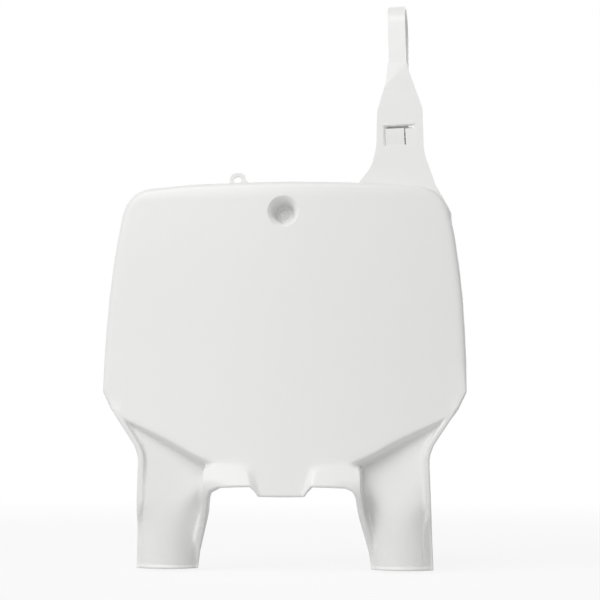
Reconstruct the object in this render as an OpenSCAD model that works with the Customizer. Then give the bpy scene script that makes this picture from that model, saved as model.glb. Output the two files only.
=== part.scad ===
// Front number board of an off-road motorcycle, moulded in one piece with its strap.
// The face looks along -Y, +X is the rider-facing viewer's right and +Z is up.
// The origin lies on the face, at the centre of the round recess.

/* [Board] */
// Height of the top edge above the recess, at the middle
top_z = 21.5; // [20:0.5:24]
// Half of the width across the top corners
shoulder_x = 107.2; // [104:0.2:110]
// Half of the widest part
hip_x = 125; // [122:0.5:128]
// Height of the widest part
hip_z = -122.6; // [-126:0.2:-119]
// Radius of the top corners
shoulder_r = 21; // [16:1:26]
// Radius of the hips
hip_r = 28; // [20:1:32]
// Radius of the face's crossways bow
bow_r = 800; // [600:50:1500]
// Radius of the face's forward sweep below sweep_z
sweep_r = 1600; // [1200:100:3000]
// Height at which the forward sweep starts
sweep_z = -60; // [-90:5:-40]
// Wall thickness
wall = 2.4; // [2.2:0.1:2.8]
// Depth of the wall round the face
skirt = 13; // [11:0.5:16]
// Radius of the rounded edge of the face
edge_r = 4.5; // [3.5:0.5:5.5]

/* [Lower edge] */
// Height of the crease above the lower band
crease_z = -170; // [-172:0.5:-168]
// Half of the crease's length, where the slanted edges start
crease_x = 44.7; // [43:0.1:46]
// Slope of the slanted edges in degrees
slant = 26; // [24:0.5:28]
// Height of the free edge of the band
band_z = -186.5; // [-188:0.5:-185]
// Forward lean of the band, as a slope
band_lean = 0.32; // [0.2:0.02:0.4]
// Height of the tongue's free edge
tongue_z = -192.8; // [-195:0.2:-190]
// Half of the tongue's width at its free edge
tongue_x = 15.4; // [14:0.2:17]

/* [Fork guards] */
// Height of the guards' lower ends
foot_z = -241.5; // [-246:0.5:-238]
// Distance of each guard's middle from the centre, at the lower end
foot_x = 79.9; // [78:0.1:82]
// Width of each guard at the lower end
foot_w = 41.8; // [40:0.2:43]
// Outer radius of the half-round guards
guard_r = 24.5; // [24:0.1:25.5]
// Diameter of the fork leg that each guard takes
fork_d = 44.4; // [44:0.1:45]
// Height of the crest where the ramp turns into the half-round guard
crest_z = -196; // [-200:1:-192]

/* [Recess] */
// Diameter of the recess at the face
recess_d = 21.8; // [20:0.2:23]
// Depth of the recess
recess_depth = 14; // [12:0.5:15]
// Diameter of the spigot behind the recess
spigot_d = 16.4; // [16:0.1:17]

/* [Strap] */
// Width of the strap
strap_w = 12; // [11:0.5:13]
// Thickness of the strap
strap_t = 2.2; // [1.8:0.1:2.4]
// Highest point of the strap's loop
strap_top = 150.5; // [145:0.5:156]
// Middle radius of the strap's loop
loop_r = 15.5; // [13:0.5:17]
// Distance from one tooth to the next
tooth_pitch = 3.5; // [3:0.1:4]
// Height of a tooth
tooth_h = 0.9; // [0.6:0.1:1]

/* [Eyelet] */
// Diameter of the hole in the eyelet
eyelet_d = 5; // [4:0.2:5]
// Distance of the eyelet from the centre
eyelet_x = 32.4; // [31.4:0.2:33.4]

/* [Hidden] */

plastic = [0.95, 0.95, 0.94];
e = 0.01;

// Small tools

function unit(v) = v / norm(v);
function clamp(t) = min(max(t, 0), 1);
function step(t) = let (u = clamp(t)) u * u * (3 - 2 * u);
function mix(a, b, t) = a + (b - a) * t;

// 0 below -r, then a rounded bend, then t itself
function bend(t, r) = t < -r ? 0 : t > r ? t : pow(t + r, 2) / (4 * r);

// The smaller of two values, with the change rounded over k
function soft_min(a, b, k) = let (h = clamp(0.5 + 0.5 * (b - a) / k)) mix(b, a, h) - k * h * (1 - h);

// Arc of radius r that rounds the corner v between a and b
function corner(a, v, b, r, n) =
    let (u = unit(a - v), w = unit(b - v), half = acos(clamp((u * w + 1) / 2) * 2 - 1) / 2,
         mid = v + unit(u + w) * r / sin(half),
         p = v + u * r / tan(half) - mid, q = v + w * r / tan(half) - mid,
         turn = atan2(p.x * q.y - p.y * q.x, p * q), start = atan2(p.y, p.x))
    [for (i = [0:n]) mid + r * [cos(start + turn * i / n), sin(start + turn * i / n)]];

// Path through a list of [x, z, radius]; a radius of 0 is a sharp point
function rounded(list, n) =
    [for (i = [0:len(list) - 1])
        let (v = [list[i].x, list[i].y])
        each i == 0 || i == len(list) - 1 || list[i].z == 0 ? [v]
            : corner([list[i - 1].x, list[i - 1].y], v, [list[i + 1].x, list[i + 1].y], list[i].z, n)];

// The same for a closed outline
function rounded_loop(list, n) =
    let (k = len(list))
    [for (i = [0:k - 1])
        let (a = list[(i + k - 1) % k], v = list[i], b = list[(i + 1) % k])
        each v.z == 0 ? [[v.x, v.y]] : corner([a.x, a.y], [v.x, v.y], [b.x, b.y], v.z, n)];

function lengths(path) =
    [for (i = 0, l = 0; i < len(path);
          l = l + (i + 1 < len(path) ? norm(path[i + 1] - path[i]) : 0), i = i + 1) l];

// A path as two tables, x and z against the length along it, and its whole length
function ruled(path) =
    let (l = lengths(path))
    [[for (i = [0:len(path) - 1]) [l[i], path[i].x]], [for (i = [0:len(path) - 1]) [l[i], path[i].y]],
     l[len(l) - 1]];
function at(rule, s) = [lookup(s, rule[0]), lookup(s, rule[1])];
function outward(rule, s) = let (d = unit(at(rule, s + 0.5) - at(rule, s - 0.5))) [-d.y, d.x];

// Outline of the right half, clockwise from the top, in five stretches

top_mid = [0, top_z, 0];
arch = [62, top_z - 1.1, 250];
shoulder = [shoulder_x, top_z - 4.7, shoulder_r];
flank = [hip_x - 5, -62, 500];
hip = [hip_x, hip_z, hip_r];
knee = [foot_x + foot_w / 2 - 2.8, -162.7, 24];
foot_out = [foot_x + foot_w / 2, foot_z, 0];
foot_in = [foot_x - foot_w / 2, foot_z, 0];
shin_low = [57.6, foot_z + 11, 22];
shin_high = [50.4, -204, 50];
crotch = [48.4, band_z - 0.5, 8];
tongue_root = [tongue_x + 4.2, band_z + 0.5, 3.5];
tongue_tip = [tongue_x, tongue_z + 0.2, 1];
tongue_mid = [0, tongue_z, 0];

function half_corner(a, v, b, first) =
    let (arc = corner([a.x, a.y], [v.x, v.y], [b.x, b.y], v.z, 12))
    [for (i = first ? [0:6] : [6:12]) arc[i]];

top_path = rounded([top_mid, arch, shoulder], 8);
top_edge = ruled(concat([for (i = [0:len(top_path) - 2]) top_path[i]],
                        half_corner(arch, shoulder, flank, true)));
side_edge = ruled(concat(half_corner(arch, shoulder, flank, false),
                         [for (p = rounded([shoulder, flank, hip, knee, foot_out], 10)) if (p.y < 4) p]));
foot_edge = ruled([[foot_out.x, foot_out.y], [foot_in.x, foot_in.y]]);
shin_path = rounded([foot_in, shin_low, shin_high, crotch], 8);
shin_edge = ruled(concat([for (i = [0:len(shin_path) - 2]) shin_path[i]],
                         half_corner(shin_high, crotch, tongue_root, true)));
band_path = rounded([crotch, tongue_root, tongue_tip, tongue_mid], 4);
band_edge = ruled(concat(half_corner(shin_high, crotch, tongue_root, false),
                         [for (i = [1:len(band_path) - 1]) band_path[i]]));

// Depth of the surface, towards +Y, over a point of the front view

slant_n = [sin(slant), -cos(slant)];
function below_slant(p) = (p.x - crease_x) * slant_n.x + (p.y - crease_z) * slant_n.y;

shin_table = [for (p = shin_edge[0]) [lookup(p[0], shin_edge[1]), p[1]]];
side_table = [for (p = side_edge[0]) [lookup(p[0], side_edge[1]), p[1]]];
function shin_at(z) = z > crotch.y ? crotch.x : max(crotch.x, lookup(z, shin_table));
function side_at(z) = lookup(z, side_table);

function face_y(x, z) = x * x / (2 * bow_r) - pow(max(0, sweep_z - z), 2) / (2 * sweep_r);
function tongue_side(z) = tongue_x + 0.27 * (z - tongue_z) + 0.5;

// Face, band, fin and outer rim: what stands forward
function high_y(x, z) =
    let (out = step((x - 60) / 25),
         band = -band_lean * bend(crease_z - z, 2) * step((x - tongue_side(z) + 1.5) / 3),
         fin = 0.98 * bend(crotch.y - z, 6) * step((x - 34) / 10),
         rim = 0.2 * (bend(-136 - z, 5) + bend(-185 - z, 6) - bend(-212 - z, 6))
             * step((below_slant([x, z]) + 1) / 5))
    face_y(x, z) + mix(band + fin, rim, out);

// Ramp and half-round guard: the floor of the pocket below the slanted edge
guard_lean = 0.052;
function guard_x(z) = foot_x - guard_lean * (z - foot_z);
function crown_y(z) = 13 - 0.13 * bend(-163 - z, 4) + 0.22 * bend(crest_z - z, 5);
function roundness(z) = step((-172 - z) / 42);
function low_y(x, z, inner) =
    let (r = inner ? guard_r - wall - 0.2 : guard_r, reach = inner ? 18.5 : 19.5,
         off = min(abs(x - guard_x(z)), reach))
    crown_y(z) + (inner ? wall + 0.2 : 0) + roundness(z) * (r - sqrt(r * r - off * off));

// 0 outside the pocket, 1 on its floor; grow widens it for the rear side of the wall
function pocket(x, z, grow) =
    let (run = mix(3.6, 7.2, clamp((112 - x) / 67)),
         a = (below_slant([x, z]) + grow * 0.9) / run,
         b = (x - shin_at(z) - 3.2 + grow * 1.4) / 2.6,
         c = (side_at(z) - 3.2 - x + grow * 1.4) / 2.6)
    step(soft_min(soft_min(a, b, 0.5), c, 0.5));

// The fin and the rim run out where the half-round guard comes forward of them
function proud_y(x, z) = soft_min(high_y(x, z), low_y(x, z, false) - 0.3, 2);
function front_y(p) =
    let (x = abs(p.x), z = p.y) mix(proud_y(x, z), low_y(x, z, false), pocket(x, z, 0));
function rear_y(p) =
    let (x = abs(p.x), z = p.y) mix(proud_y(x, z) + wall, low_y(x, z, true), pocket(x, z, wall));

// Rear edge of the walls round the outline
function side_rear(p) = mix(face_y(p.x, p.y) + skirt, 20 + 0.06 * (-134 - p.y), step((-110 - p.y) / 30));
function shin_rear(p) = 26.5 - 9 * pow(1 - clamp((crotch.y - p.y) / (crotch.y - foot_z)), 2);
function foot_rear(p) = min(rear_y(p) + 0.2, 26.5);
function band_rear(p) = -0.5 + 18 * step((p.x - 18) / 28);

// Grid of the shell: columns from the centre outwards, rows from the top down.
// The rows follow the slanted edge, and the columns the fin and the outer rim.

band_cols = [0, 8, 12.8, 16.4, 18.6, 21.6, 31, 41, crease_x];
band_feet = [0, 8, tongue_x - 1.6, tongue_x + 0.2, tongue_x + 2, tongue_x + 5.4, 31, 42.6];
near_fin = [3, 3.9, 4.8, 6, 8.4];
near_rim = [7.4, 5, 3.9, 3];
middle = 5;
a_col = len(band_cols) - 1;
n_col = a_col + len(near_fin) + middle + len(near_rim) + 1;
face_rows = [0, 0.04, 0.09, 0.2, 0.34, 0.48, 0.62, 0.76, 0.89, 0.97, 1];
wall_rows = [1, 2, 3, 4.2, 5.4, 6.8, 9, 13, 17.6];
leg_s = [0, 0.045, 0.1, 0.18, 0.27, 0.37, 0.47, 0.57, 0.68, 0.79, 0.9, 1];
leg_rows = len(leg_s) - 1;
s_row = len(face_rows) - 1;
b_row = s_row + len(wall_rows);
n_row = b_row + leg_rows;

function side_inset(s) =
    mix(edge_r, 1.5, step((s - hip_s + 12) / 24));
function side_inner(s) = at(side_edge, s) - outward(side_edge, s) * side_inset(s);

// Length along the side at which its inner line lies d below the slanted edge
function side_cross(d, lo, hi, n) =
    let (m = (lo + hi) / 2)
    n == 0 ? m : below_slant(side_inner(m)) < d ? side_cross(d, m, hi, n - 1) : side_cross(d, lo, m, n - 1);

hip_s = side_edge[2] - (hip_z + 12 - foot_z) * 1.06;
cross_low = side_edge[2] * 0.4;
cross_high = side_edge[2] * 0.8;
side_s = concat(
    [for (v = face_rows) v * side_cross(0, cross_low, cross_high, 20)],
    [for (d = wall_rows) side_cross(d, cross_low, cross_high, 20)],
    [for (i = [1:leg_rows]) mix(side_cross(17.6, cross_low, cross_high, 20), side_edge[2], leg_s[i])]);

// The right half of the edge, clockwise: [x, z], inset of the grid, rear y, and flare of the wall
band_table = [for (p = band_edge[0]) [p[1], lookup(p[0], band_edge[1])]];
edge = concat(
    [for (c = [0:n_col]) let (p = at(top_edge, top_edge[2] * c / n_col)) [p, edge_r, side_rear(p), 0.05]],
    [for (r = [1:n_row]) let (p = at(side_edge, side_s[r]))
        [p, r == n_row ? 1.2 : side_inset(side_s[r]), side_rear(p), mix(0.05, 0, step((r - s_row + 2) / 6))]],
    [for (c = [n_col - 1:-1:a_col]) let (p = [foot_point_x(c), foot_z])
        [p, 1.2, c == a_col ? 26.5 : foot_rear(p), 0]],
    [for (r = [1:leg_rows]) let (p = at(shin_edge, shin_edge[2] * (1 - leg_s[leg_rows - r])))
        [p, 1.5, shin_rear(p), r == leg_rows ? 0 : -0.05]],
    [for (i = [1:a_col]) let (x = band_feet[a_col - i], p = [x, lookup(x, band_table)])
        [p, 1.5, band_rear(p), 0]]);
last = len(edge) - 1;

function foot_point_x(c) = c == a_col ? foot_in.x : column_x(c, foot_z);

// Mitred outward direction at each point of the edge
function left_of(d) = [-d.y, d.x];
function mitre(i) =
    i == 0 ? [0, 1] : i == last ? [0, -1] :
    let (p = left_of(unit(edge[i][0] - edge[i - 1][0])), q = left_of(unit(edge[i + 1][0] - edge[i][0])))
    (p + q) / (1 + p * q);
out_dir = [for (i = [0:last]) mitre(i)];

function inner_edge(inset) = [for (i = [0:last]) edge[i][0] - out_dir[i] * max(edge[i][1], inset)];

// Place in the edge of each border point of the grid
function top_i(c) = c;
function side_i(r) = n_col + r;
function foot_i(c) = n_col + n_row + n_col - c;
function shin_i(r) = n_col + n_row + n_col - a_col + n_row - r;
function band_i(c) = last - c;

// Column c of a leg at height z: held to the fin on its inner side and to the rim on its outer side
function column_x(c, z) =
    let (k = c - a_col, m = len(near_fin), far = n_col - len(near_rim),
         first = shin_at(z) + near_fin[m - 1], end = side_at(z) - near_rim[0])
    k <= m ? shin_at(z) + near_fin[k - 1]
        : c >= far ? side_at(z) - near_rim[c - far]
        : mix(first, end, (k - m) / (middle + 1));

function spine(b, r) =
    r >= b_row ? b[shin_i(r)] : mix([crease_x, crease_z], b[shin_i(b_row)], (r - s_row) / (b_row - s_row));

function leg_point(b, c, r) =
    c == a_col ? spine(b, r) : c == n_col ? b[side_i(r)]
    : leg_step(spine(b, r), b[side_i(r)], c, spine(b, r).y, 4);
function leg_step(p, q, c, z, n) =
    let (x = min(max(column_x(c, z), p.x + 0.3 * (c - a_col)), q.x - 0.3 * (n_col - c)),
         next = mix(p.y, q.y, (x - p.x) / (q.x - p.x)))
    n == 0 ? [x, next] : leg_step(p, q, c, next, n - 1);

function slant_point(b, c) = c <= a_col ? [band_cols[c], crease_z] : leg_point(b, c, s_row);

function face_point(b, c, r) =
    let (v = face_rows[r], line = mix(b[top_i(c)], slant_point(b, c), v),
         rest = b[side_i(r)] - mix(b[top_i(n_col)], slant_point(b, n_col), v))
    line + rest * pow(c / n_col, 2);

function band_point(b, c, r) = mix([band_cols[c], crease_z], b[band_i(c)], (r - s_row) / (b_row - s_row));

function half_point(b, c, r) =
    r == 0 ? b[top_i(c)] : c == n_col ? b[side_i(r)]
    : r < s_row ? face_point(b, c, r) : r == s_row ? slant_point(b, c)
    : c >= a_col ? (r == n_row ? b[foot_i(c)] : c == a_col ? spine(b, r) : leg_point(b, c, r))
    : r <= b_row ? band_point(b, c, r) : [band_cols[c], crease_z];

function grid(b, rear) =
    [for (c = [-n_col:n_col], r = [0:n_row])
        let (h = half_point(b, abs(c), r), p = [c < 0 ? -h.x : h.x, h.y])
        [p.x, rear ? rear_y(p) : front_y(p), p.y]];

front_b = inner_edge(0);
rear_b = inner_edge(wall + 0.8);

// One turn round the edge at a given stage: over the rounded edge, back along the wall, and in again
loop_n = 2 * last;
round_steps = [30, 60, 88];
function stage_point(i, k) =
    let (p = edge[i][0], n = out_dir[i], r = edge[i][1], back = edge[i][2], flare = edge[i][3],
         y0 = front_y(front_b[i]), deep = max(0, back - y0 - r), tip = p + n * flare * deep)
    k < len(round_steps)
        ? let (q = p - n * r * (1 - sin(round_steps[k]))) [q.x, y0 + r * (1 - cos(round_steps[k])), q.y]
    : k == len(round_steps) ? [tip.x, back, tip.y]
    : k == len(round_steps) + 1 ? let (q = tip - n * wall) [q.x, back, q.y]
    : let (q = p - n * wall) [q.x, mix(back, rear_y(rear_b[i]), 0.75), q.y];
stages = len(round_steps) + 3;

function stage(k) =
    [for (i = [0:loop_n - 1])
        let (m = i <= last ? i : loop_n - i, p = stage_point(m, k)) [i <= last ? p.x : -p.x, p.y, p.z]];

// Numbers of the points in the polyhedron
per_grid = (2 * n_col + 1) * (n_row + 1);
function g(c, r) = (c + n_col) * (n_row + 1) + r;
function border_cr(m) =
    m <= n_col ? [m, 0] : m <= n_col + n_row ? [n_col, m - n_col]
    : m <= 2 * n_col + n_row - a_col ? [2 * n_col + n_row - m, n_row]
    : m <= 2 * n_col + n_row - a_col + leg_rows ? [a_col, 2 * n_col + 2 * n_row - a_col - m]
    : [last - m, b_row];
function border(i, base) =
    let (m = i <= last ? i : loop_n - i, q = border_cr(m)) base + g(i <= last ? q[0] : -q[0], q[1]);
function ring(i, k) =
    let (j = i % loop_n)
    k == 0 ? border(j, 0) : k == stages + 1 ? border(j, per_grid) : 2 * per_grid + (k - 1) * loop_n + j;

cells = [for (c = [-n_col:n_col - 1], r = [0:n_row - 1])
    if (r < b_row || c >= a_col || c < -a_col) [c, r]];

shell_points = concat(grid(front_b, false), grid(rear_b, true), [for (k = [0:stages - 1]) each stage(k)]);

// A four-cornered cell as two triangles, cut along its shorter diagonal
function cell(a, b, c, d) =
    let (v = shell_points)
    norm(v[a] - v[c]) < norm(v[b] - v[d]) ? [[a, b, c], [a, c, d]] : [[a, b, d], [b, c, d]];

shell_faces = concat(
    [for (q = cells) let (c = q[0], r = q[1]) each cell(g(c, r), g(c + 1, r), g(c + 1, r + 1), g(c, r + 1))],
    [for (q = cells)
        let (c = q[0], r = q[1], b = per_grid)
        each cell(b + g(c + 1, r), b + g(c, r), b + g(c, r + 1), b + g(c + 1, r + 1))],
    [for (k = [0:stages], i = [0:loop_n - 1]) each cell(ring(i, k), ring(i, k + 1), ring(i + 1, k + 1), ring(i + 1, k))]);

// Strap, buckle and eyelet, from their outlines in the front view

plate_y = [12.2, 14.6];
buckle = [77.8, 54.6];
buckle_turn = 2.5;
loop_foot = [76.9, 13.8, 103.5];
loop_yaw = -4.5;
loop_tilt = -1.5;
end_y = 4.2;
back_lean = 22;
strap_end = -73.5;
teeth_w = 8.4;
eyelet_z = 24.1;

wall_middle = [for (i = [0:n_col + 3])
    let (q = edge[i][0] - out_dir[i] * wall / 2) if (q.x > 49.5 && q.y > -6) q];
root_left = [[49, 20.4, 0], [58.8, 33, 24], [62, 47, 30], [62.6, 71.5, 12], [68.8, 93, 40], [70, 106, 0]];
root_right = [[83.2, 106, 0], [84.2, 101, 30], [93.8, 73.5, 14], [94.7, 42, 25], [105, 18, 60], [112.4, 0, 0],
              [110.9, -5.5, 0]];

// Middle line of the strap's loop in its own plane: up, over, down and into the buckle
loop_z = strap_top - loop_foot.z - loop_r - strap_t / 2;
loop_path = concat(
    [[0, 0]],
    [for (a = [0:7.5:180 + back_lean]) [loop_r * (1 - cos(a)), loop_z + loop_r * sin(a)]],
    let (p = [loop_r * (1 + cos(back_lean)), loop_z - loop_r * sin(back_lean)],
         drop = (p.x - end_y) / tan(back_lean), bend_at = [end_y, p.y - drop])
    concat([p], corner(p, bend_at, [end_y, strap_end], 25, 5), [[end_y, strap_end]]));
loop_rule = ruled(loop_path);
function loop_side(s, off) = at(loop_rule, s) + outward(loop_rule, s) * off;

teeth_from = loop_z + loop_r * PI * 0.62;
teeth_n = floor((loop_rule[2] - teeth_from - 12) / tooth_pitch);

// Draws a flat shape standing in the front view, from y0 back to y1
module upright(y0, y1) {
    translate([0, y1, 0]) rotate([90, 0, 0]) linear_extrude(y1 - y0) children();
}

// Draws a side profile of [y, z] points, w wide
module across(w) {
    rotate([90, 0, 90]) translate([0, 0, -w / 2]) linear_extrude(w) children();
}

module strap_plate() {
    difference() {
        upright(plate_y[0], plate_y[1])
            polygon(concat(rounded(root_left, 5), rounded(root_right, 5),
                           [for (i = [len(wall_middle) - 1:-1:0]) wall_middle[i]]));
        translate([buckle.x, 0, buckle.y]) rotate([0, -buckle_turn, 0]) {
            translate([-11, plate_y[0] - 1, -7.4]) cube([22, 1.5, 14.8]);
            translate([-10.2, plate_y[0] - 1, -6.7]) cube([20.4, 5, 13.4]);
        }
        // Slight bevel that turns the neck's face into the strap's
        translate([83.2, plate_y[0], 106]) rotate([-4, 0, loop_yaw])
            translate([-30, -10, -40]) cube([60, 10, 60]);
    }
}

// Sprung pawl, fixed guide block and the housing that holds the strap's end
module buckle_parts() {
    translate([buckle.x, 0, buckle.y]) rotate([0, -buckle_turn, 0]) {
        translate([-3.35, 0, 0])
            across(12.5)
                polygon([[12.9, -7], [12.9, -6], [12.3, -0.8], [12.3, 4.9], [14.6, 4.9], [15.2, 4.2],
                         [15.2, 3.2], [14.4, 0], [14.4, -7]]);
        translate([4.3, 12.8, -7]) cube([6.2, 1.7, 11.6]);
        difference() {
            translate([-8.6, 14.3, -10]) cube([17.2, 7.2, 16]);
            translate([-6.7, 13.9, -11]) cube([13.4, 5.6, 18]);
            translate([-20, 13.2, -20]) cube([40, 1.2, 40]);
        }
    }
}

module strap_loop() {
    translate(loop_foot) rotate([0, loop_tilt, loop_yaw]) {
        across(strap_w)
            polygon(concat(
                [for (p = loop_rule[0]) let (s = p[0]) loop_side(s, strap_t / 2)],
                [for (i = [len(loop_rule[0]) - 1:-1:0])
                    let (s = loop_rule[0][i][0]) loop_side(s, -strap_t / 2)]));
        across(teeth_w)
            polygon(concat(
                [for (i = [0:teeth_n * 2]) loop_side(teeth_from + i * tooth_pitch / 2, 0)],
                [for (i = [teeth_n - 1:-1:0])
                    let (s = teeth_from + i * tooth_pitch)
                    each [loop_side(s + tooth_pitch, -strap_t / 2 + 0.1),
                          loop_side(s + tooth_pitch * 0.8, -strap_t / 2 - tooth_h),
                          loop_side(s + tooth_pitch * 0.55, -strap_t / 2 - tooth_h),
                          loop_side(s + e, -strap_t / 2 + 0.1)]]));
    }
}

module eyelet() {
    difference() {
        upright(11, 13.4)
            polygon(rounded_loop([[-40.2, 19.6, 0], [-37.9, 22.4, 1], [-37.4, 29, 4.7], [-27.4, 29, 4.7],
                                  [-26.6, 23, 2.5], [-21.6, 21.8, 0], [-21.6, 19.6, 0]], 6));
        translate([-eyelet_x, 9, eyelet_z]) rotate([-90, 0, 0]) cylinder(d = eyelet_d, h = 6, $fn = 48);
    }
}

// Solid cup behind the recess, with the spigot that plugs into its mounting
module cup() {
    r = spigot_d / 2;
    rotate([-90, 0, 0])
        rotate_extrude($fn = 48)
            polygon([[0, 1.2], [12.6, 1.2], [12.6, 3], [11, 3.6], [9.9, 5.2], [9.4, 7.4], [r, 8.8],
                     [r, recess_depth + 1.6], [r - 0.8, recess_depth + 2.4], [0, recess_depth + 2.4]]);
}

module recess() {
    r = recess_d / 2;
    d = recess_depth;
    rotate([-90, 0, 0])
        rotate_extrude($fn = 48)
            polygon([[0, -1], [r + 0.6, -1], [r, 0], [r - 1.4, 1], [r - 2.7, 2.4],
                     [r - 3.5, 4.4], [r - 4.65, d - 1.4], [r - 5.1, d - 0.4], [r - 6.1, d],
                     [3.6, d], [3.4, d + 0.4], [2.8, d + 0.4], [2.8, d], [1.3, d], [1.1, d - 0.5], [0, d - 0.5]]);
}

// True round seat of a fork leg in one guard
module fork_seat() {
    translate([foot_x, crown_y(foot_z) + guard_r, foot_z])
        rotate([atan(0.09), -atan(guard_lean), 0])
            translate([0, 0, -3]) cylinder(d = fork_d, h = 31, $fn = 96);
}

module number_board() {
    color(plastic)
        difference() {
            union() {
                polyhedron(shell_points, shell_faces, convexity = 8);
                cup();
                eyelet();
                strap_plate();
                buckle_parts();
                strap_loop();
            }
            recess();
            fork_seat();
            mirror([1, 0, 0]) fork_seat();
        }
}

number_board();
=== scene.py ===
import math

import bmesh
import bpy
from mathutils import Matrix, Vector
from mathutils.bvhtree import BVHTree


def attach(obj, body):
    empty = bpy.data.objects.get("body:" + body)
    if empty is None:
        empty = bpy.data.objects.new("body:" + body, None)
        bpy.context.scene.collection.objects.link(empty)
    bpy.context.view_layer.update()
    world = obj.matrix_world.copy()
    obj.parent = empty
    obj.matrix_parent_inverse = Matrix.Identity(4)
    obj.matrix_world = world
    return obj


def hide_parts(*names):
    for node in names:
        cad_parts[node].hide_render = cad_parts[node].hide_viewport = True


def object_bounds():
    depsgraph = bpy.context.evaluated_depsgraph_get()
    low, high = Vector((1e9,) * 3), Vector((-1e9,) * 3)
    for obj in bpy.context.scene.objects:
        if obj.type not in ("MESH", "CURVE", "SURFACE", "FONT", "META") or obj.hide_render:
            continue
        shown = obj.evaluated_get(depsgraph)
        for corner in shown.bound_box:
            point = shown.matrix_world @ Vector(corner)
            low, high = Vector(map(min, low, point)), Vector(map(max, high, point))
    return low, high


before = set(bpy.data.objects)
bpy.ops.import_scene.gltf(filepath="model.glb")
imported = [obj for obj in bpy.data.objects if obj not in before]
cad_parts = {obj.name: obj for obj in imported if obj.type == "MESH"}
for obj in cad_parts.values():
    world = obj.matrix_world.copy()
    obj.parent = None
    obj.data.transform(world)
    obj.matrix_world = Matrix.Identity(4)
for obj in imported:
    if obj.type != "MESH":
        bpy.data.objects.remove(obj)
cad_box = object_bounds()

# The board is one moulding of white polypropylene: a bowed face with a turned-back wall, two
# half-round fork guards, a spigot behind a stepped recess, an eyelet and a ratchet strap.
# Its mould is polished, so the plastic has a soft gloss with a very fine grain.

WELD = 0.00002
MM = 1000.0

board = bpy.data.objects.new("board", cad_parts["number_board"].data.copy())
bpy.context.scene.collection.objects.link(board)
bm = bmesh.new()
bm.from_mesh(board.data)
bmesh.ops.remove_doubles(bm, verts=bm.verts, dist=WELD)
bmesh.ops.dissolve_degenerate(bm, dist=WELD, edges=bm.edges)

# Main lines of the lower half, in millimetres from the recess and the same on both sides. Below
# each slanted edge lies a pocket: a fin borders it on the inside, a rim on the outside, and the
# half-round guard comes out from under its floor at the crest.

CREASE_X, CREASE_Z, SLANT = 44.7, -170.0, math.radians(26)
BAND_Z, TONGUE_Z, TONGUE_X = -187.0, -192.8, 14.4
FOOT_X, FOOT_Z = 79.9, -241.5


def ease(t):
    t = min(max(t, 0.0), 1.0)
    return t * t * (3 - 2 * t)


def rolled(t, reach):
    """Nothing below zero and t above it, with a soft bend between."""
    if abs(t) > reach:
        return max(t, 0.0)
    return (t + reach) ** 2 / (4 * reach)


def lesser(a, b, reach):
    """The smaller of two values, with a soft blend where they meet."""
    share = min(max(0.5 + 0.5 * (b - a) / reach, 0.0), 1.0)
    return b + (a - b) * share - reach * share * (1 - share)


def below_slant(x, z):
    return (x - CREASE_X) * math.sin(SLANT) - (z - CREASE_Z) * math.cos(SLANT)


# Outlines of a guard: the shin is its inner edge, which swings out towards the foot, and the side
# is its outer edge, read off the solid's own wall.

SHIN_FOOT, SHIN_LEAN, NOTCH_X = 59, 0.127, 48.4
LOW_BEND, LOW_BEND_Z, HIGH_BEND, HIGH_BEND_Z = 0.145, -230.5, 0.154, -204
SIDE_START, SIDE_DEPTH, SIDE_LOWEST = 0.2, 0.018, -241

solid = BVHTree.FromBMesh(bm)
outer_wall = {}


def shin_x(z):
    line = SHIN_FOOT - SHIN_LEAN * (z - FOOT_Z)
    line -= LOW_BEND * rolled(z - LOW_BEND_Z, reach=3)
    line += HIGH_BEND * rolled(z - HIGH_BEND_Z, reach=5)
    return max(line, NOTCH_X) if z < BAND_Z else NOTCH_X


def side_x(z):
    key = round(z)
    if key not in outer_wall:
        from_outside = Vector((SIDE_START, SIDE_DEPTH, max(key, SIDE_LOWEST) / MM))
        outer_wall[key] = solid.ray_cast(from_outside, Vector((-1, 0, 0)))[0].x * MM
    return outer_wall[key]


# The fin is a flat strip along the shin, and at its top it is cut back to the corner where the
# slanted edge begins. The rim is a strip along the side that thins out downwards.

FIN_WIDE, FIN_CUT, FIN_CUT_Z, FIN_CUT_RUN = 3.8, 7.5, -174, 3.6
RIM_WIDE, RIM_THINNER, RIM_THIN_Z, RIM_THIN_RUN = 3.2, 2.4, -194, 20


def fin_x(z):
    return shin_x(z) + FIN_WIDE - FIN_CUT * ease((z - FIN_CUT_Z) / FIN_CUT_RUN)


def rim_x(z):
    low = math.floor(z)
    side = side_x(low) + (side_x(low + 1) - side_x(low)) * (z - low)
    return side - RIM_WIDE + RIM_THINNER * ease((RIM_THIN_Z - z) / RIM_THIN_RUN)


# Depth of what stands proud of the pockets: the bowed face, the band between the guards, which
# leans forward a little, and the fin and the rim, which both fall back towards the foot.

BOW_R, SWEEP_R, SWEEP_Z = 800.0, 1600.0, -60.0
BAND_LEAN, TONGUE_SLOPE, TONGUE_SOFT, TONGUE_RUN = 0.2, 0.27, 1.5, 6
FIN_FALL, FIN_FROM_X, FIN_RUN = 0.98, 34, 10
RIM_FALL, RIM_FALL_Z, RIM_END_FALL, RIM_END_Z = 0.17, -142, 0.45, -201
RIM_START, RIM_RUN, OUTSIDE_X, OUTSIDE_RUN = -1, 5, 60, 25


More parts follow.
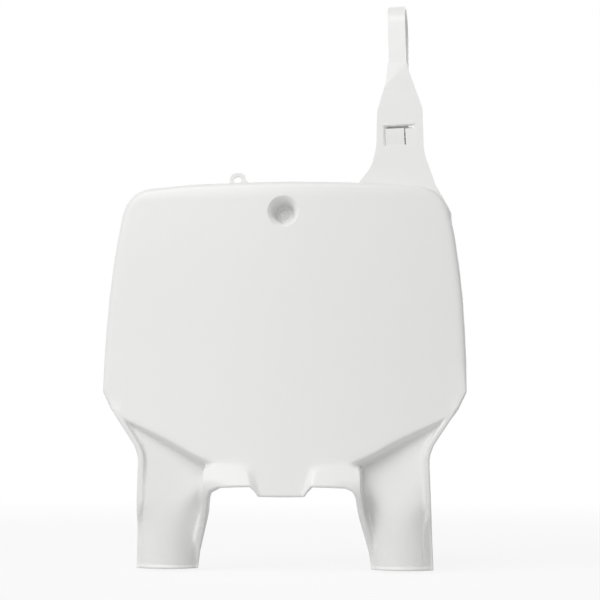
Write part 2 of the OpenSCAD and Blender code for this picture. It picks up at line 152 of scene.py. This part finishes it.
def proud_y(x, z):
    tongue_side = TONGUE_X + TONGUE_SLOPE * (z - TONGUE_Z) - TONGUE_SOFT
    band = -BAND_LEAN * rolled(CREASE_Z - z, reach=2) * ease((x - tongue_side) / TONGUE_RUN)
    fin = FIN_FALL * rolled(BAND_Z - z, reach=6) * ease((x - FIN_FROM_X) / FIN_RUN)
    rim = RIM_FALL * rolled(RIM_FALL_Z - z, reach=5)
    rim += RIM_END_FALL * rolled(RIM_END_Z - z, reach=5)
    rim *= ease((below_slant(x, z) - RIM_START) / RIM_RUN)
    outside = ease((x - OUTSIDE_X) / OUTSIDE_RUN)
    face = x * x / (2 * BOW_R) - max(0, SWEEP_Z - z) ** 2 / (2 * SWEEP_R)
    return face + (band + fin) * (1 - outside) + rim * outside


# Depth of the pocket's floor: a nearly flat upper part, and below the crest the half-round front
# of the guard, which is flatter at its top, falls back towards the foot and ends in a small lip.

CREST_Z, CREST_Y, FLAT_LEAN, FLAT_TURN = -205.0, 8.0, 0.05, 0.08
GUARD_R, GUARD_REACH, GUARD_LEAN, GUARD_FALL = 24.5, 19.5, 0.052, 0.16
OUTER_FLATTER, OUTER_Z, OUTER_RUN = 0.6, -215, 20
INNER_TOP, INNER_MORE, INNER_Z, INNER_RUN = 0.35, 0.85, -180, 26
LIP_OUT, LIP_HIGH, LIP_RUN = 1.2, 2.4, 1.2


def floor_y(x, z):
    middle = FOOT_X - GUARD_LEAN * (z - FOOT_Z)
    off = min(abs(x - middle), GUARD_REACH)
    if x > middle:
        round_share = 1 - OUTER_FLATTER * ease((z - OUTER_Z) / OUTER_RUN)
    else:
        round_share = INNER_TOP + INNER_MORE * ease((INNER_Z - z) / INNER_RUN)
    fall = GUARD_R - math.sqrt(GUARD_R ** 2 - off ** 2)
    guard = CREST_Y + GUARD_FALL * (CREST_Z - z) + round_share * fall
    flat = CREST_Y + FLAT_LEAN * rolled(z - CREST_Z, reach=4) - FLAT_TURN * (x - FOOT_X)
    lip = LIP_OUT * ease((FOOT_Z + LIP_HIGH - z) / LIP_RUN)
    return -lip - lesser(-flat, -guard, reach=2.5)


# How far a point is down in the pocket, from 0 on its brim to 1 on its floor. The ramp under the
# slanted edge is widest at its inner end, and the fin's wall gets wider towards the foot.

RAMP_START, RAMP_WIDE, RAMP_WIDER, RAMP_X, RAMP_LONG = 0.5, 3.4, 4, 112, 60
FIN_WALL, FIN_WALL_WIDER, FIN_WALL_Z, FIN_WALL_RUN = 1.9, 1.2, -198, 20
RIM_WALL = 2.6
BRIM, BASE = 0.38, 0.85


def in_pocket(x, z):
    ramp = RAMP_WIDE + RAMP_WIDER * min(max((RAMP_X - x) / RAMP_LONG, 0), 1)
    from_slant = (below_slant(x, z) - RAMP_START) / (ramp - RAMP_START)
    fin_wall = FIN_WALL + FIN_WALL_WIDER * ease((FIN_WALL_Z - z) / FIN_WALL_RUN)
    from_fin = (x - fin_x(z)) / fin_wall
    from_rim = (rim_x(z) - x) / RIM_WALL
    share = lesser(lesser(from_slant, from_fin, reach=0.4), from_rim, reach=0.4)
    depth = rolled(share - BRIM, reach=0.38) - rolled(share - BASE, reach=0.15)
    return depth / (BASE - BRIM)


# Fin and rim keep a small step over the floor, which runs out just above the foot.

STEP, STEP_END_Z, STEP_RUN = 0.3, -236, 14


def front_y(x, z):
    low = floor_y(x, z)
    step = STEP * ease((z - STEP_END_Z) / STEP_RUN)
    high = lesser(proud_y(x, z), low - step, reach=3.5)
    return high + (low - high) * in_pocket(x, z)


# The lower half of the front gets a mesh fine enough for those lines, and each point of it moves
# to their depth. The rear and the walls follow, less and less towards the rear edge.

REGION_TOP, REGION_REAR, REGION_SLANT, REGION_FACING = -0.118, 0.026, -4, -0.06
EDGE_LENGTHS = 0.012, 0.006, 0.003, 0.00185, 0.0013


def in_region(face):
    middle = face.calc_center_median()
    return (middle.z < REGION_TOP and face.normal.y < REGION_FACING and middle.y < REGION_REAR
            and below_slant(abs(middle.x) * MM, middle.z * MM) > REGION_SLANT)


for longest in EDGE_LENGTHS:
    bm.normal_update()
    near = {edge for face in bm.faces if in_region(face) for edge in face.edges}
    long_edges = [edge for edge in sorted(near, key=lambda e: e.index)
                  if edge.calc_length() > longest]
    bmesh.ops.subdivide_edges(bm, edges=long_edges, cuts=1)
    bmesh.ops.triangulate(bm, faces=[face for face in bm.faces if len(face.verts) > 3])
    bm.edges.index_update()

# A point close to the outline takes its move from a place a little inside it, so that the rounded
# edge moves as a whole.

INSIDE, INSIDE_FOOT = 1.7, 1.3
SHIN_FROM_X, SHIN_TOP_Z, FOOT_FROM_X = 30, -188, 48
TONGUE_END_X, TONGUE_RISE, BAND_EDGE_Z = 15.4, 4.2, -186.5
AHEAD, WALL_END, SKIN = -0.05, 26.5, 1.5


def lowest_z(x):
    if x > FOOT_FROM_X:
        return FOOT_Z + INSIDE_FOOT
    off_tongue = min(max((x - TONGUE_END_X) / TONGUE_RISE, 0), 1)
    return TONGUE_Z + (BAND_EDGE_Z - TONGUE_Z) * off_tongue + INSIDE


moves = []
for vert in bm.verts:
    if vert.co.z > REGION_TOP:
        continue
    x, z = abs(vert.co.x) * MM, vert.co.z * MM
    x = min(x, side_x(math.floor(z)) - INSIDE)
    if z < SHIN_TOP_Z and x > SHIN_FROM_X:
        x = max(x, shin_x(z) + INSIDE)
    z = max(z, lowest_z(x))
    in_front = Vector((math.copysign(x, vert.co.x) / MM, AHEAD, z / MM))
    hit = solid.ray_cast(in_front, Vector((0, 1, 0)))[0]
    if hit is None:
        continue
    was = hit.y * MM
    follow = min(max((WALL_END - vert.co.y * MM) / (WALL_END - was - SKIN), 0), 1)
    moves.append((vert, (front_y(x, z) - was) * follow))
for vert, move in moves:
    vert.co.y += move / MM
bm.normal_update()

# The moved points of the guards are evened out in depth, more so at the corner where band,
# slanted edge and pocket meet, and along the lower ends of the fin and the rim.

GUARD_FROM_X, GUARD_OFF_SIDE, GUARD_LOW_Z, GUARD_SLANT, GUARD_FACING = 43, 0.8, -238.5, -3, -0.05
CORNER_X, CORNER_Z, CORNER_REACH = CREASE_X + 3, CREASE_Z - 3, 7
BORDER_LOW_Z, BORDER_HIGH_Z, BORDER_REACH = -236, -198, 4
GUARD_TURNS, CORNER_TURNS, BORDER_TURNS = 3, 6, 8


def is_guard(vert):
    x, z = abs(vert.co.x) * MM, vert.co.z * MM
    return (GUARD_LOW_Z < z < REGION_TOP * MM and vert.normal.y < GUARD_FACING
            and below_slant(x, z) > GUARD_SLANT
            and GUARD_FROM_X < x < side_x(math.floor(z)) - GUARD_OFF_SIDE)


def is_corner(vert):
    x, z = abs(vert.co.x) * MM, vert.co.z * MM
    return math.hypot(x - CORNER_X, z - CORNER_Z) < CORNER_REACH


def is_border(vert):
    x, z = abs(vert.co.x) * MM, vert.co.z * MM
    return (BORDER_LOW_Z < z < BORDER_HIGH_Z
            and (abs(x - fin_x(z)) < BORDER_REACH or x > rim_x(z) - BORDER_REACH))


guards = [vert for vert in bm.verts if is_guard(vert)]
corners = [vert for vert in guards if is_corner(vert)]
borders = [vert for vert in guards if is_border(vert)]
for points, turns in (guards, GUARD_TURNS), (corners, CORNER_TURNS), (borders, BORDER_TURNS):
    for turn in range(turns):
        bmesh.ops.smooth_vert(bm, verts=points, factor=0.5, use_axis_y=True)

# The strap's root runs into the wall without a step, its keeper closes the window's slots from
# behind, and the pawl stands close to its block. Each place holds the lowest and the highest x, y
# and z of its points.

ROOT = (94, 130), (12.1, 14.7), (-1, 42)
ROOT_X, ROOT_SLOPE = 112, 0.42
ROOT_IN, ROOT_SPREAD, ROOT_Z, ROOT_RUN = 1.4, 15, 18, 24
KEEPER_TOP = (68, 71), (14.3, 60), (60.1, 60.4)
KEEPER_MOUTH = (68, 71), (14.3, 14.5), (59, 60.4)
KEEPER_LEFT = (66, 71), (21.4, 60), (43, 62)
KEEPER_RIGHT = (86, 88), (21.4, 60), (43, 62)
KEEPER_UP, KEEPER_BACK, KEEPER_OUT = 2.4, 3.5, 2.4
PAWL = (80.4, 81.1), (-20, 15), (47.5, 60)
PAWL_OUT = 0.5


def lies_in(point, place):
    return all(low < at < high for at, (low, high) in zip(point, place))


for vert in bm.verts:
    point = vert.co * MM
    if lies_in(point, KEEPER_TOP):
        vert.co.z += KEEPER_UP / MM
    if lies_in(point, KEEPER_MOUTH):
        vert.co.y += KEEPER_BACK / MM
    if lies_in(point, KEEPER_LEFT):
        vert.co.x -= KEEPER_OUT / MM
    if lies_in(point, KEEPER_RIGHT):
        vert.co.x += KEEPER_OUT / MM
    if lies_in(point, PAWL):
        vert.co.x += PAWL_OUT / MM
    if lies_in(point, ROOT) and point.x > ROOT_X - ROOT_SLOPE * point.z:
        fade = 1 - ease((point.z - ROOT_Z) / ROOT_RUN)
        vert.co.x -= (ROOT_IN + point.z / ROOT_SPREAD) * fade / MM

# The shoulders stand a little wider than the solid's, and the strap a little further out, but
# nothing gets wider than the solid is at the hips.

LEFT_OUT, RIGHT_OUT, STRAP_OUT = 4.3, 5.9, 1.2
SHOULDER_LOW_Z, SHOULDER_HIGH_Z = -108.0, 15.0
TOP_LESS, TOP_Z, TOP_RUN = 0.5, -30, 45
SHOULDER_X, SHOULDER_RUN = 25, 75
STRAP_Z, STRAP_RUN = 5, 25

for vert in bm.verts:
    x, z = vert.co.x * MM, vert.co.z * MM
    rise = min(max((z - SHOULDER_LOW_Z) / (SHOULDER_HIGH_Z - SHOULDER_LOW_Z), 0), 1)
    rise *= 1 - TOP_LESS * ease((z - TOP_Z) / TOP_RUN)
    out = (RIGHT_OUT if x > 0 else -LEFT_OUT) * rise * ease((abs(x) - SHOULDER_X) / SHOULDER_RUN)
    on_strap = ease((z - STRAP_Z) / STRAP_RUN) if x > 0 else 0
    wider = vert.co.x + (out + (STRAP_OUT - out) * on_strap) / MM
    vert.co.x = min(max(wider, cad_box[0].x), cad_box[1].x)
bm.normal_update()

# Bends up to this angle are shaded as one round surface, and sharper ones as edges.

SHARP = math.radians(34)

for edge in bm.edges:
    edge.smooth = len(edge.link_faces) == 2 and edge.calc_face_angle(math.pi) < SHARP
for face in bm.faces:
    face.smooth = True
bm.to_mesh(board.data)
bm.free()

PLASTIC_WHITE = (0.83, 0.83, 0.82, 1)
PLASTIC_ROUGHNESS = 0.34
GRAIN_SCALE, GRAIN_DETAIL = 1400, 2
GRAIN_STRENGTH, GRAIN_DEPTH = 0.05, 0.0001

plastic = bpy.data.materials.new("white_polypropylene")
plastic.use_nodes = True
nodes, links = plastic.node_tree.nodes, plastic.node_tree.links
shader = nodes["Principled BSDF"]
shader.inputs["Base Color"].default_value = PLASTIC_WHITE
shader.inputs["Roughness"].default_value = PLASTIC_ROUGHNESS
place = nodes.new("ShaderNodeTexCoord")
grain = nodes.new("ShaderNodeTexNoise")
grain.inputs["Scale"].default_value = GRAIN_SCALE
grain.inputs["Detail"].default_value = GRAIN_DETAIL
grain_bump = nodes.new("ShaderNodeBump")
grain_bump.inputs["Strength"].default_value = GRAIN_STRENGTH
grain_bump.inputs["Distance"].default_value = GRAIN_DEPTH
links.new(place.outputs["Object"], grain.inputs["Vector"])
links.new(grain.outputs["Fac"], grain_bump.inputs["Height"])
links.new(grain_bump.outputs["Normal"], shader.inputs["Normal"])
board.data.materials.clear()
board.data.materials.append(plastic)
for face in board.data.polygons:
    face.material_index = 0

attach(board, "root")
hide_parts("number_board")

# The floor is a plain white sheet just under the guards. It keeps a soft part of the board's
# shadow near the guards, and further off it runs out to the white of the surroundings.

FLOOR_DROP = 0.002
FLOOR_HALF = 20.0
SHADE_NEAR, SHADE_FAR = 0.45, 2.2
WHITE_NEAR = 0.86
SHEET_WHITE = (0.8, 0.8, 0.8, 1)
SHEET_ROUGHNESS = 0.9

floor_mesh = bpy.data.meshes.new("floor")
bm = bmesh.new()
bmesh.ops.create_grid(bm, x_segments=1, y_segments=1, size=FLOOR_HALF)
bmesh.ops.translate(bm, verts=bm.verts, vec=(0, 0, cad_box[0].z - FLOOR_DROP))
bm.to_mesh(floor_mesh)
bm.free()
floor = bpy.data.objects.new("floor", floor_mesh)
bpy.context.scene.collection.objects.link(floor)

paper = bpy.data.materials.new("floor_white")
paper.use_nodes = True
nodes, links = paper.node_tree.nodes, paper.node_tree.links
sheet = nodes["Principled BSDF"]
sheet.inputs["Base Color"].default_value = SHEET_WHITE
sheet.inputs["Roughness"].default_value = SHEET_ROUGHNESS
sheet.inputs["Specular IOR Level"].default_value = 0
place = nodes.new("ShaderNodeTexCoord")
reach = nodes.new("ShaderNodeVectorMath")
reach.operation = "LENGTH"
fade = nodes.new("ShaderNodeMapRange")
fade.interpolation_type = "SMOOTHSTEP"
fade.inputs["From Min"].default_value = SHADE_NEAR
fade.inputs["From Max"].default_value = SHADE_FAR
fade.inputs["To Min"].default_value = WHITE_NEAR
ray = nodes.new("ShaderNodeLightPath")
seen = nodes.new("ShaderNodeMath")
seen.operation = "MULTIPLY"
glow = nodes.new("ShaderNodeEmission")
glow.inputs["Strength"].default_value = 1
blend = nodes.new("ShaderNodeMixShader")
links.new(place.outputs["Object"], reach.inputs[0])
links.new(reach.outputs["Value"], fade.inputs["Value"])
links.new(fade.outputs["Result"], seen.inputs[0])
links.new(ray.outputs["Is Camera Ray"], seen.inputs[1])
links.new(seen.outputs["Value"], blend.inputs["Fac"])
links.new(sheet.outputs["BSDF"], blend.inputs[1])
links.new(glow.outputs["Emission"], blend.inputs[2])
links.new(blend.outputs["Shader"], nodes["Material Output"].inputs["Surface"])
floor_mesh.materials.append(paper)

# Studio light: a white room that the camera and the plastic's gloss see at full white, one large
# soft lamp high up on the left in front of the board, and a weaker one behind it.

ROOM_LEVEL = 0.33
LAMP_PLACE, LAMP_TARGET = Vector((-1.9, -3.7, 3.1)), Vector((0, 0, -0.06))
LAMP_SIZE, LAMP_POWER = 4.2, 195
REAR_PLACE, REAR_POWER = Vector((0.9, 4.4, 1.6)), 62

world = bpy.data.worlds.new("white_room")
bpy.context.scene.world = world
world.use_nodes = True
nodes, links = world.node_tree.nodes, world.node_tree.links
backdrop = nodes["Background"]
backdrop.inputs["Color"].default_value = (1, 1, 1, 1)
ray = nodes.new("ShaderNodeLightPath")
mirrored = nodes.new("ShaderNodeMath")
mirrored.operation = "ADD"
seen = nodes.new("ShaderNodeMath")
seen.operation = "ADD"
level = nodes.new("ShaderNodeMapRange")
level.inputs["To Min"].default_value = ROOM_LEVEL
level.inputs["To Max"].default_value = 1
links.new(ray.outputs["Is Glossy Ray"], mirrored.inputs[0])
links.new(ray.outputs["Is Transmission Ray"], mirrored.inputs[1])
links.new(ray.outputs["Is Camera Ray"], seen.inputs[0])
links.new(mirrored.outputs["Value"], seen.inputs[1])
links.new(seen.outputs["Value"], level.inputs["Value"])
links.new(level.outputs["Result"], backdrop.inputs["Strength"])

for name, lamp_at, power in (("key", LAMP_PLACE, LAMP_POWER), ("rear", REAR_PLACE, REAR_POWER)):
    lamp = bpy.data.lights.new(name, "AREA")
    lamp.shape = "SQUARE"
    lamp.size = LAMP_SIZE
    lamp.energy = power
    lamp_stand = bpy.data.objects.new(name, lamp)
    lamp_stand.location = lamp_at
    lamp_stand.rotation_euler = (LAMP_TARGET - lamp_at).to_track_quat("-Z", "Y").to_euler()
    bpy.context.scene.collection.objects.link(lamp_stand)

# The camera stands a metre in front, slightly to the right of the board and below its middle.

AZIMUTH, ELEVATION, ROLL = math.radians(4), math.radians(-6.5), math.radians(0.23)
DISTANCE = 0.993
LENS, SENSOR = 87.6, 36
TARGET = Vector((0.0112, 0.008, -0.0599))

camera_data = bpy.data.cameras.new("camera")
camera_data.lens = LENS
camera_data.sensor_width = SENSOR
camera = bpy.data.objects.new("camera", camera_data)
back = Vector((math.sin(AZIMUTH) * math.cos(ELEVATION), -math.cos(AZIMUTH) * math.cos(ELEVATION),
               math.sin(ELEVATION)))
turn = back.to_track_quat("Z", "Y").to_matrix() @ Matrix.Rotation(ROLL, 3, "Z")
camera.matrix_world = Matrix.Translation(TARGET + back * DISTANCE) @ turn.to_4x4()
bpy.context.scene.collection.objects.link(camera)
bpy.context.scene.camera = camera

bpy.context.scene.view_settings.view_transform = "Standard"
